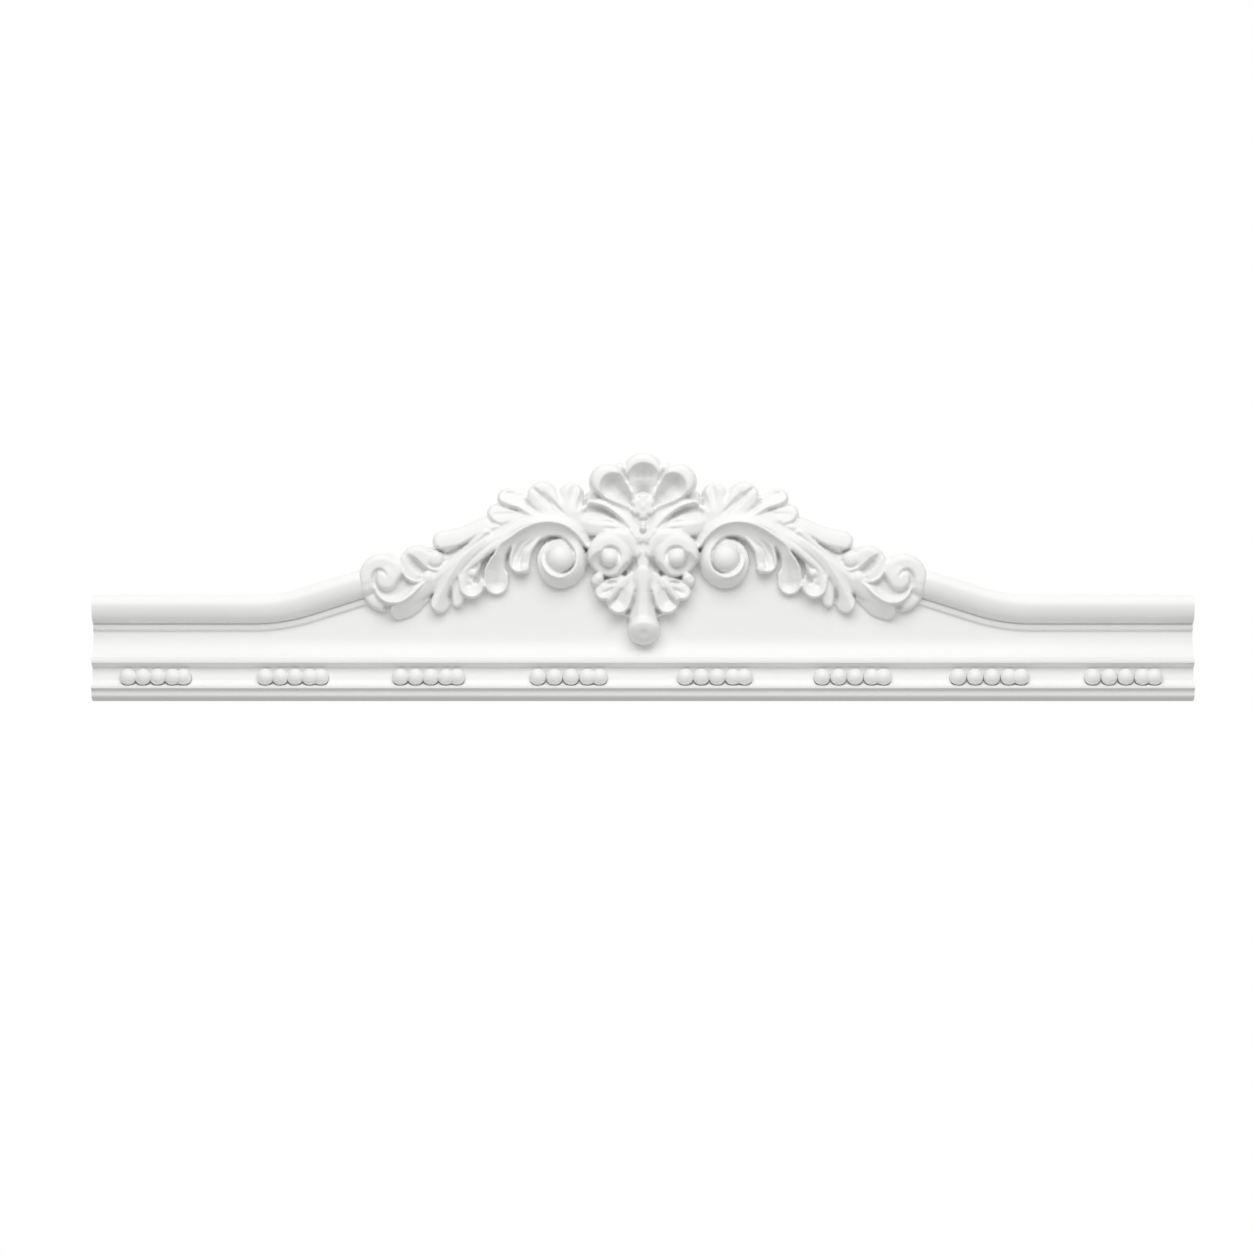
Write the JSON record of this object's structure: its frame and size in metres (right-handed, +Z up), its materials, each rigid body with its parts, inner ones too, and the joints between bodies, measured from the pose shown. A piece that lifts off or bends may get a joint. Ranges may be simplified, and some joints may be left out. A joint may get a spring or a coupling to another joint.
{
  "type": "door pediment",
  "caption": "Moulded door pediment with a beaded straight moulding, a torus rail swept up to the middle, acanthus sprays and a shell cartouche.",
  "frame": {"origin": "on the flat back face, on the centre line, 145 mm above the underside", "axes": "+X along the moulding to the right as seen from the front, +Y into the wall out of the back face, +Z up; the front faces -Y"},
  "size_m": [1.28, 0.058, 0.2904],
  "materials": {
    "primed_white": "moulded rigid polyurethane with a smooth matt white factory primer"
  },
  "bodies": {
    "root": {"door_pediment": "primed_white"}
  },
  "joints": []
}
